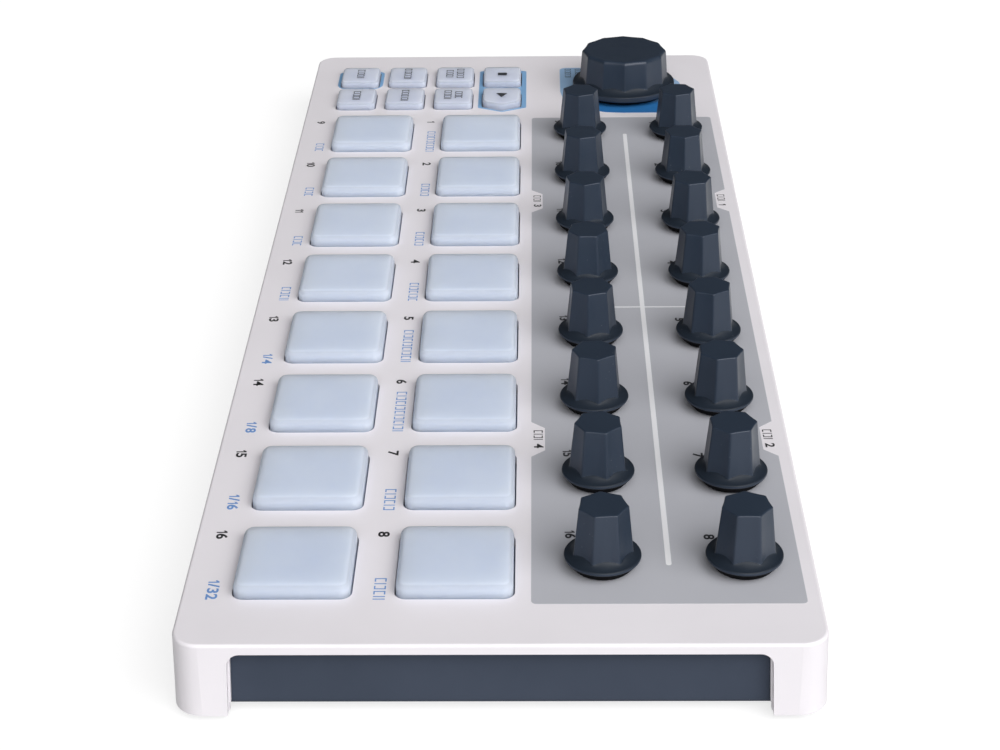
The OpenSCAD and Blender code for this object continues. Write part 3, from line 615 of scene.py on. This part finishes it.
def knob(name, at, turn, size):
    """Knob with its shaft, in its place."""
    low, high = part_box(name)
    bm = knob_shape(size, low.z / MM - PLATE, high.z / MM - PLATE)
    finish_knob(bm, size)
    settle(bm, at, turn)
    cap = piece(name + "_cap", bm, KNOB_SLATE, name, name)
    # Slots after the slate: painted shade on the foot, steel on the shaft, painted shade on the flange
    for finish in (KNOB_FOOT_SHADE, BRIGHT_METAL, KNOB_FLANGE_SHADE):
        cap.data.materials.append(finish)


for number, turn in zip(NUMBERS, KNOB_TURNS):
    knob(f"encoder_knob_{number}", KNOB_AT[number], turn, SMALL_KNOB)
knob("large_knob", LARGE_AT, LARGE_TURN, LARGE_KNOB)


# Pads and buttons
def outline_face(bm, corners, radius, height):
    """Flat face with rounded corners at a height."""
    verts = [bm.verts.new((x, y, height)) for x, y in corners]
    bm.faces.new(verts)
    made = bmesh.ops.bevel(
        bm, geom=verts, offset=radius, segments=CORNER_STEPS, profile=0.5, affect="VERTICES", material=-1
    )
    return made["verts"][0].link_faces[0]


def narrow(bm, face, place):
    """Insets a face about its own axis; place gives each corner its new plan position."""
    bmesh.ops.inset_region(bm, faces=[face], thickness=INSET_START, use_even_offset=True)
    for vert in face.verts:
        vert.co.xy = place(vert.co.xy)


def raise_face(bm, face, height):
    """Extrudes a face to a height and gives the moved face; a face that has neighbours leaves none behind."""
    has_neighbours = any(len(edge.link_faces) > 1 for edge in face.edges)
    new = bmesh.ops.extrude_face_region(bm, geom=[face])["geom"]
    moved = [f for f in new if isinstance(f, bmesh.types.BMFace)][0]
    for vert in moved.verts:
        vert.co.z = height
    if has_neighbours:
        bmesh.ops.delete(bm, geom=[face], context="FACES_ONLY")
    return moved


def soft_cap(corners, corner_r, edge_r, flange, top, crown):
    """Cap with a flange under the plate and a rounded, slightly crowned top; gives its underside too."""
    bm = bmesh.new()
    width, thickness = flange
    shelf = outline_face(bm, grown(corners, width), corner_r + width, FLANGE_TOP - thickness)
    shelf = raise_face(bm, shelf, FLANGE_TOP)
    bmesh.ops.inset_region(bm, faces=[shelf], thickness=width, use_even_offset=True)
    head = raise_face(bm, shelf, top - crown)
    bmesh.ops.bevel(
        bm, geom=list(head.edges), offset=edge_r, segments=CAP_EDGE_STEPS, profile=0.5, affect="EDGES",
        material=-1,
    )
    head = highest(bm)
    bmesh.ops.inset_region(bm, faces=[head], thickness=(corner_r - edge_r) / 2, use_even_offset=True)
    bmesh.ops.poke(bm, faces=[head], offset=crown)
    return bm, lowest(bm)


def pad(name, at):
    """Pad with a core below its flange, hollowed over its lamp."""
    end, top = (corner.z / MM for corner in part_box(name))
    bm, underside = soft_cap(
        around((0, 0), (PAD_SIDE, PAD_SIDE)), PAD_CORNER, PAD_EDGE, PAD_FLANGE, top, PAD_CROWN
    )
    well_r, well_depth = PAD_WELL
    core_share = PAD_CORE / (PAD_SIDE + 2 * PAD_FLANGE[0])
    narrow(bm, underside, lambda place: place * core_share)
    underside = raise_face(bm, underside, end)
    narrow(bm, underside, lambda place: place.normalized() * well_r)
    raise_face(bm, underside, end + well_depth)
    settle(bm, at)
    piece(name + "_head", bm, PAD_SILICONE, name, name)


def button_corners(name):
    """Corners of a button's cap about its middle; the play button ends in a point."""
    if name != "play_button":
        return around((0, 0), BUTTON_SIZE)
    x, y = (side / 2 - BUTTON_CORNER for side in BUTTON_SIZE)
    tip = x + PLAY_REACH
    shoulder = tip - PLAY_POINT
    return grown([(-x, -y), (shoulder, -y), (tip, 0), (shoulder, y), (-x, y)], BUTTON_CORNER)


def button(name):
    """Button with a round stem below its flange."""
    bm, underside = soft_cap(
        button_corners(name), BUTTON_CORNER, BUTTON_EDGE, BUTTON_FLANGE, BUTTON_TOP, BUTTON_CROWN
    )
    narrow(bm, underside, lambda place: place.normalized() * STEM_R)
    raise_face(bm, underside, BUTTON_END)
    settle(bm, BUTTON_AT[name])
    piece(name + "_cap", bm, BUTTON_SILICONE, name, name)


for number in NUMBERS:
    pad(f"pad_{number}", PAD_AT[number])
for name in BUTTONS:
    button(name)

# Printed films stand out of their surface by this much, and sink in by as much
INK = 0.03
# Points of a film that are nearer than this become one, and a round hole has this many
MERGE = 0.0005
HOLE_STEPS = 40
# Figures: added weight and gap as shares of their size, and their stretch in width
BOLD = 0.025
LETTER_GAP = 0.1
WIDE = 1.3
# The figure 1: height, flag and stroke as shares of the size, and in strokes how low the flag meets the stem
ONE_SHARES = (0.7, 0.15, 0.12)
ONE_FOOT = 1.5
# Plain marks run in threes, a bar between two brackets: stroke, gap and bracket as shares of the height
MARK_SHARES = (0.12, 0.26, 0.5)
MARK_RUN = 3


# Film helpers
def as_mesh(curve, height):
    """Bmesh of a curve or text, raised to its height and brought to metres."""
    obj = bpy.data.objects.new("draft", curve)
    bpy.context.scene.collection.objects.link(obj)
    made = bpy.data.meshes.new_from_object(obj.evaluated_get(bpy.context.evaluated_depsgraph_get()))
    bpy.data.objects.remove(obj)
    bpy.data.curves.remove(curve)
    bm = bmesh.new()
    bm.from_mesh(made)
    bpy.data.meshes.remove(made)
    bmesh.ops.remove_doubles(bm, verts=bm.verts, dist=MERGE)
    bmesh.ops.translate(bm, verts=bm.verts, vec=(0, 0, height))
    bmesh.ops.scale(bm, verts=bm.verts, vec=(MM, MM, MM))
    return bm


def flat_film(loops, height, shift=(0, 0)):
    """Thin film inside the outlines, open where one lies within another, on a surface at a height."""
    curve = bpy.data.curves.new("film", "CURVE")
    curve.dimensions = "2D"
    curve.fill_mode = "BOTH"
    curve.extrude = INK
    for loop in loops:
        spline = curve.splines.new("POLY")
        spline.points.add(len(loop) - 1)
        for point, (x, y) in zip(spline.points, loop):
            point.co = (x + shift[0], y + shift[1], 0, 1)
        spline.use_cyclic_u = True
    return as_mesh(curve, height)


def joined(films):
    """One bmesh from several."""
    whole = bmesh.new()
    for film in films:
        mesh = bpy.data.meshes.new("film")
        film.to_mesh(mesh)
        film.free()
        whole.from_mesh(mesh)
        bpy.data.meshes.remove(mesh)
    return whole


def printed(name, films, material, body="case"):
    """One piece from several films."""
    piece(name, joined(films), material, body)


def one_outline(size):
    """A figure 1 with a short flag, about its middle height."""
    tall, flag, stroke = (size * share for share in ONE_SHARES)
    top = tall / 2
    stem = flag + stroke
    return [
        (flag, -top), (stem, -top), (stem, top), (flag, top), (0, top - flag), (0, top - flag - stroke),
        (flag, top - stroke * ONE_FOOT),
    ]


def figure(letter, size, height):
    """Film of one figure."""
    if letter == "1":
        return flat_film([one_outline(size)], height)
    curve = bpy.data.curves.new("figure", "FONT")
    curve.body = letter
    curve.align_y = "CENTER"
    curve.size = size
    curve.offset = size * BOLD
    curve.extrude = INK
    film = as_mesh(curve, height)
    bmesh.ops.scale(film, verts=film.verts, vec=(WIDE, 1, 1))
    return film


def lettered(text, centre, size, height):
    """Plain figures about a centre, reading along +X."""
    gap = size * LETTER_GAP * MM
    films = []
    pen = 0
    for letter in text:
        film = figure(letter, size, height)
        ends = [vert.co.x for vert in film.verts]
        bmesh.ops.translate(film, verts=film.verts, vec=(pen - min(ends), centre[1] * MM, 0))
        pen += max(ends) - min(ends) + gap
        films.append(film)
    row = joined(films)
    half = (pen - gap) / 2
    bmesh.ops.translate(row, verts=row.verts, vec=(centre[0] * MM - half, 0, 0))
    return row


def mark_row(length, tall, centre):
    """Outlines of bars and open brackets in a row, reading along +X."""
    stroke, gap, wide = (tall * share for share in MARK_SHARES)
    loops = []
    x = centre[0] - length / 2
    end = x + length
    low = centre[1] - tall / 2
    high = centre[1] + tall / 2
    while x + stroke < end:
        far = x + wide
        turn = len(loops) % MARK_RUN
        if turn == 1 or far > end:
            loops.append(box_corners(x, x + stroke, low, high))
            x += stroke + gap
            continue
        stem, tips = (x, far) if turn == 0 else (far, x)
        inner = stem + stroke if stem < tips else stem - stroke
        loops.append([
            (stem, low), (tips, low), (tips, low + stroke), (inner, low + stroke),
            (inner, high - stroke), (tips, high - stroke), (tips, high), (stem, high),
        ])
        x = far + gap
    return loops


def circle(at, radius):
    """Outline of a round hole."""
    return arc(at, radius, 0, 360 - 360 / HOLE_STEPS, HOLE_STEPS - 1)


# Grey panel, with a notch for each tab in its long edges and a hole for each bush
BUSH_HOLE = 4
PANEL_X = (-100.9, 139.8)
PANEL_Y = (5.6, 55.45)
PANEL_CORNER = 1
TAB_MIDDLES = (-42.4, 80)
TAB_OUTER = 14.3
TAB_INNER = 9.2
TAB_DEPTH = 2.8


def panel_edge(y, into):
    """Notches of one long edge of the grey panel, from left to right."""
    points = []
    for x in TAB_MIDDLES:
        points += [
            (x - TAB_OUTER / 2, y), (x - TAB_INNER / 2, y + into),
            (x + TAB_INNER / 2, y + into), (x + TAB_OUTER / 2, y),
        ]
    return points


def panel_outline():
    """Outline of the grey panel: the front notches follow its first corner, the back ones its third."""
    corners = rounded(box_corners(*PANEL_X, *PANEL_Y), PANEL_CORNER)
    first = CORNER_STEPS + 1
    third = 3 * first
    front = panel_edge(PANEL_Y[0], TAB_DEPTH)
    back = panel_edge(PANEL_Y[1], -TAB_DEPTH)[::-1]
    return corners[:first] + front + corners[first:third] + back + corners[third:]


panel = flat_film([panel_outline()] + [circle(at, BUSH_HOLE) for at in KNOB_AT.values()], PLATE)
printed("grey_panel", [panel], PANEL_GREY)

# White lines on the panel: one along it, with round ends, and one across
LONG_LINE_X = (-88.5, 127.2)
LONG_LINE_Y = 31.1
LONG_LINE_WIDE = 1.05
LONG_LINE_ROUND = 0.49
CROSS_LINE_X = 19
CROSS_LINE_Y = (17.8, 43.8)
CROSS_LINE_WIDE = 0.5
long_half = LONG_LINE_WIDE / 2
cross_half = CROSS_LINE_WIDE / 2
long_line = box_corners(*LONG_LINE_X, LONG_LINE_Y - long_half, LONG_LINE_Y + long_half)
cross_line = box_corners(CROSS_LINE_X - cross_half, CROSS_LINE_X + cross_half, *CROSS_LINE_Y)
printed(
    "panel_lines",
    [
        flat_film([rounded(long_line, LONG_LINE_WIDE * LONG_LINE_ROUND)], PLATE + INK),
        flat_film([cross_line], PLATE + INK / 2),
    ],
    LINE_WHITE,
)

# Blue patches behind the large knob, round the stop and play buttons, and round the front left button
PATCH_CORNER = 2
LARGE_PATCH_X = (-19.4, 17.6)
LARGE_PATCH_Y = (-18.2, 17)
LARGE_PATCH_CORNERS = (PATCH_CORNER, 17, PATCH_CORNER, 17)
SHIFT_PATCH_CORNERS = (PATCH_CORNER, 4, 4, PATCH_CORNER)
SHIFT_BORDER = 0.9
PLAY_PATCH_CORNER = 1
PLAY_PATCH_LEFT = -7.5
PLAY_PATCH_SHOULDER = 5.2
PLAY_PATCH_TIP = 8.5
PLAY_PATCH_Y = (-6.7, 7)


def aperture(name):
    """Outline of a button's hole in the plate."""
    corners = grown(button_corners(name), BUTTON_GAP)
    shift = BUTTON_AT[name]
    return [(x + shift.x, y + shift.y) for x, y in rounded(corners, BUTTON_CORNER + BUTTON_GAP)]


def large_patch():
    """Film behind the large knob, with two widely rounded corners."""
    corners = box_corners(
        *(LARGE_AT.x + x for x in LARGE_PATCH_X), *(LARGE_AT.y + y for y in LARGE_PATCH_Y)
    )
    return flat_film([rounded(corners, LARGE_PATCH_CORNERS), circle(LARGE_AT, BUSH_HOLE)], PLATE)


def play_patch():
    """Film round the stop and play buttons, pointed like the play button."""
    left = BUTTON_AT["stop_button"].x + PLAY_PATCH_LEFT
    shoulder = BUTTON_AT["play_button"].x + PLAY_PATCH_SHOULDER
    tip = BUTTON_AT["play_button"].x + PLAY_PATCH_TIP
    low, high = (BUTTON_AT["stop_button"].y + y for y in PLAY_PATCH_Y)
    corners = [(left, low), (shoulder, low), (tip, (low + high) / 2), (shoulder, high), (left, high)]
    holes = [aperture("stop_button"), aperture("play_button")]
    return flat_film([rounded(corners, PLAY_PATCH_CORNER)] + holes, PLATE)


def shift_patch():
    """Border round the front left button."""
    size = [side + 2 * (BUTTON_GAP + SHIFT_BORDER) for side in BUTTON_SIZE]
    corners = around(BUTTON_AT["shift_button"], size)
    return flat_film([rounded(corners, SHIFT_PATCH_CORNERS), aperture("shift_button")], PLATE)


# The large patch carries a painted reflection that fades to its deep print towards the last pads
printed("large_patch", [large_patch()], PATCH_REFLECTION)
printed("blue_patches", [play_patch(), shift_patch()], PATCH_BLUE)

# Figures: pad and knob numbers by row, and in the panel's tabs a short mark with the number of each group
PAD_FIGURE = 2.95
KNOB_FIGURE = 2.75
NUMBER_BY_PAD = ((-11.0, -14.2), (-11.0, -15.4))
NUMBER_BY_KNOB = ((-9.7, -5.9), (-10.7, -5.9))
TAB_MARK = (4.4, 1.9)
TAB_MARK_SHIFT = -1.4
TAB_FIGURE = 2.6
TAB_FIGURE_SHIFT = 2.8
TAB_Y = (PANEL_Y[1] - TAB_DEPTH / 2, PANEL_Y[0] + TAB_DEPTH / 2)
figures = []
for number in NUMBERS:
    row = (number - 1) // COLUMNS
    at = PAD_AT[number] + Vector(NUMBER_BY_PAD[row])
    figures.append(lettered(str(number), at, PAD_FIGURE, PLATE))
    at = KNOB_AT[number] + Vector(NUMBER_BY_KNOB[row])
    figures.append(lettered(str(number), at, KNOB_FIGURE, PLATE + INK))
tabs = [(x, y) for y in TAB_Y for x in TAB_MIDDLES]
for number, (x, y) in enumerate(tabs, 1):
    figures.append(flat_film(mark_row(*TAB_MARK, (x + TAB_MARK_SHIFT, y)), PLATE))
    figures.append(lettered(str(number), (x + TAB_FIGURE_SHIFT, y), TAB_FIGURE, PLATE))
printed("black_figures", figures, INK_BLACK)

# Blue captions by the pads: plain marks and note lengths, ending in line with the pad
CAPTION_ENDS = (11.1, 10.5)
CAPTION_Y = (-13.7, -14.1)
CAPTION_TALL = 2.2
NOTE_LENGTHS = {13: "1/4", 14: "1/8", 15: "1/16", 16: "1/32"}
NOTE_SIZE = 2.9
NOTE_STEP = 0.95
NOTE_PAST = (1.1, -0.6)
MARK_LENGTHS = {
    1: 14.8, 2: 8.5, 3: 8.5, 4: 10, 5: 16, 6: 17.5,
    7: 8, 8: 7, 9: 5.8, 10: 5.8, 11: 5.8, 12: 7.5,
}
captions = []
for number in NUMBERS:
    row = (number - 1) // COLUMNS
    end, y = PAD_AT[number] + Vector((CAPTION_ENDS[row], CAPTION_Y[row]))
    if number in NOTE_LENGTHS:
        text = NOTE_LENGTHS[number]
        at = (end + NOTE_PAST[0] - len(text) * NOTE_STEP, y + NOTE_PAST[1])
        captions.append(lettered(text, at, NOTE_SIZE, PLATE))
    else:
        length = MARK_LENGTHS[number]
        captions.append(flat_film(mark_row(length, CAPTION_TALL, (end - length / 2, y)), PLATE))
printed("blue_captions", captions, INK_BLUE)

# Small marks on the large knob's patch: length and height, and their places from the knob's axis
PATCH_MARK = (7.3, 1.8)
PATCH_MARKS_AT = ((-14.7, -15.8), (-14.7, -12.8))
patch_marks = [flat_film(mark_row(*PATCH_MARK, LARGE_AT + Vector(at)), PLATE + INK) for at in PATCH_MARKS_AT]
printed("patch_marks", patch_marks, INK_GREY)

# Marks on the buttons: a stop square, a play triangle and one or two plain rows, given by their lengths
STOP_AT = (0.2, 0)
STOP_SQUARE = (2.2, 2.65)
STOP_CORNER = 0.4
PLAY_TRIANGLE = [(-1.5, -1.6), (1.7, 0), (-1.5, 1.6)]
ROW_TALL = 2.1
ROW_STEP = 1.55
ROW_SHIFTS = {1: -0.2, 2: -0.3}
BUTTON_ROWS = {
    "mode_button": (8, 6), "sync_button": (5.4, 7), "recall_button": (8.9,),
    "store_button": (8.3,), "shift_button": (7.4,), "channel_button": (6.8,),
}


def button_rows(lengths):
    """Outlines of the plain rows on a button, the back one first."""
    loops = []
    count = len(lengths)
    for row, length in enumerate(lengths):
        y = ROW_STEP * (count - 1 - 2 * row)
        loops += mark_row(length, ROW_TALL, (ROW_SHIFTS[count], y))
    return loops


button_marks = {
    "stop_button": [rounded(around(STOP_AT, STOP_SQUARE), STOP_CORNER)],
    "play_button": [PLAY_TRIANGLE],
}
for name, lengths in BUTTON_ROWS.items():
    button_marks[name] = button_rows(lengths)
for name, outlines in button_marks.items():
    mark = flat_film(outlines, BUTTON_TOP, BUTTON_AT[name])
    printed(name + "_mark", [mark], INK_GREY, name)


# Camera
def make_camera():
    """Camera of the photographed view."""
    data = bpy.data.cameras.new("camera")
    data.lens = CAMERA_LENS
    data.sensor_width = SENSOR_WIDTH
    data.clip_start, data.clip_end = CLIP_RANGE
    tilt = (math.cos(CAMERA_PITCH), math.sin(CAMERA_PITCH))
    forward = Vector((-tilt[0] * math.cos(CAMERA_YAW), -tilt[0] * math.sin(CAMERA_YAW), -tilt[1]))
    right = Vector((-math.sin(CAMERA_YAW), math.cos(CAMERA_YAW), 0))
    up = right.cross(forward)
    roll = (math.cos(CAMERA_ROLL), math.sin(CAMERA_ROLL))
    across = right * roll[0] + up * roll[1]
    upright = up * roll[0] - right * roll[1]
    camera = bpy.data.objects.new("camera", data)
    axes = Matrix((across, upright, -forward)).transposed().to_4x4()
    camera.matrix_world = Matrix.Translation(Vector(CAMERA_AT) * MM) @ axes
    bpy.context.scene.collection.objects.link(camera)
    bpy.context.scene.camera = camera


# Floor: its side in metres and its cells, its matt share and the light on that, and the grey it throws back
FLOOR_SIDE = 6
FLOOR_CELLS = 4
FLOOR_SHARE = 0.35
FLOOR_LIGHT = 0.8
PAPER_GREY = 0.4
# The sky is dim but for one wide soft light: its direction, strength and how closely it holds together
SKY_WHITE = 0.985
SKY_BASE = 0.08
SOFT_TOWARDS = (0.77, 0.21, 0.60)
SOFT_STRENGTH = 5.2
SOFT_HOLD = 8
# One lamp stands to the right of the photographed view: its place and side in metres, and its power
KEY_AT = (0.53, 0.75, 0.79)
KEY_SIDE = 0.9
KEY_WATTS = 7


def grey(value):
    """Colour of one even value."""
    return (value, value, value, 1)


def shown_directly(tree):
    """1 for what the camera sees straight, in gloss or through glass, 0 for light on matt surfaces."""
    path = add(tree, "LightPath")
    total = path.outputs["Is Camera Ray"]
    for label in ("Is Glossy Ray", "Is Transmission Ray"):
        plus = add(tree, "Math", operation="ADD", use_clamp=True)
        tree.links.new(total, plus.inputs[0])
        tree.links.new(path.outputs[label], plus.inputs[1])
        total = plus.outputs[0]
    return total


def floor_paper():
    """Paper that shows white but keeps a soft shadow, and throws less light back on the object."""
    material = bpy.data.materials.new("floor_paper")
    material.use_nodes = True
    tree = material.node_tree
    tree.nodes.remove(tree.nodes["Principled BSDF"])
    paper = add(tree, "BsdfDiffuse", Color=grey(PAPER_GREY))
    shadowed = add(tree, "BsdfDiffuse", Color=grey(FLOOR_SHARE))
    glow = add(tree, "Emission", Color=grey(1), Strength=1 - FLOOR_SHARE * FLOOR_LIGHT)
    lit = add(tree, "AddShader")
    both = add(tree, "MixShader")
    tree.links.new(shadowed.outputs[0], lit.inputs[0])
    tree.links.new(glow.outputs[0], lit.inputs[1])
    tree.links.new(shown_directly(tree), both.inputs[0])
    tree.links.new(paper.outputs[0], both.inputs[1])
    tree.links.new(lit.outputs[0], both.inputs[2])
    tree.links.new(both.outputs[0], tree.nodes["Material Output"].inputs["Surface"])
    return material


def make_floor():
    """Floor under the part."""
    bm = bmesh.new()
    bmesh.ops.create_grid(bm, x_segments=FLOOR_CELLS, y_segments=FLOOR_CELLS, size=FLOOR_SIDE / 2)
    mesh = bpy.data.meshes.new("floor")
    bm.to_mesh(mesh)
    bm.free()
    floor = bpy.data.objects.new("floor", mesh)
    bpy.context.scene.collection.objects.link(floor)
    mesh.materials.append(floor_paper())


def make_world():
    """Sky with its soft light."""
    world = bpy.data.worlds.new("studio")
    bpy.context.scene.world = world
    world.use_nodes = True
    tree = world.node_tree
    sky = tree.nodes["Background"]
    sky.inputs["Color"].default_value = grey(SKY_WHITE)
    facing = add(tree, "VectorMath", operation="DOT_PRODUCT")
    tree.links.new(add(tree, "TexCoord").outputs["Generated"], facing.inputs[0])
    facing.inputs[1].default_value = Vector(SOFT_TOWARDS).normalized()
    front = add(tree, "Math", operation="MAXIMUM")
    tree.links.new(facing.outputs["Value"], front.inputs[0])
    front.inputs[1].default_value = 0
    soft = add(tree, "Math", operation="POWER")
    tree.links.new(front.outputs[0], soft.inputs[0])
    soft.inputs[1].default_value = SOFT_HOLD
    total = add(tree, "Math", operation="MULTIPLY_ADD")
    tree.links.new(soft.outputs[0], total.inputs[0])
    total.inputs[1].default_value = SOFT_STRENGTH
    total.inputs[2].default_value = SKY_BASE
    tree.links.new(total.outputs[0], sky.inputs["Strength"])


def make_key():
    """Lamp that faces the part's origin."""
    data = bpy.data.lights.new("key_box", "AREA")
    data.size = KEY_SIDE
    data.energy = KEY_WATTS
    lamp = bpy.data.objects.new("key_box", data)
    aim = Vector(KEY_AT).to_track_quat("Z", "Y").to_matrix().to_4x4()
    lamp.matrix_world = Matrix.Translation(Vector(KEY_AT)) @ aim
    bpy.context.scene.collection.objects.link(lamp)


make_camera()
make_floor()
make_world()
make_key()
bpy.context.scene.view_settings.view_transform = "Standard"
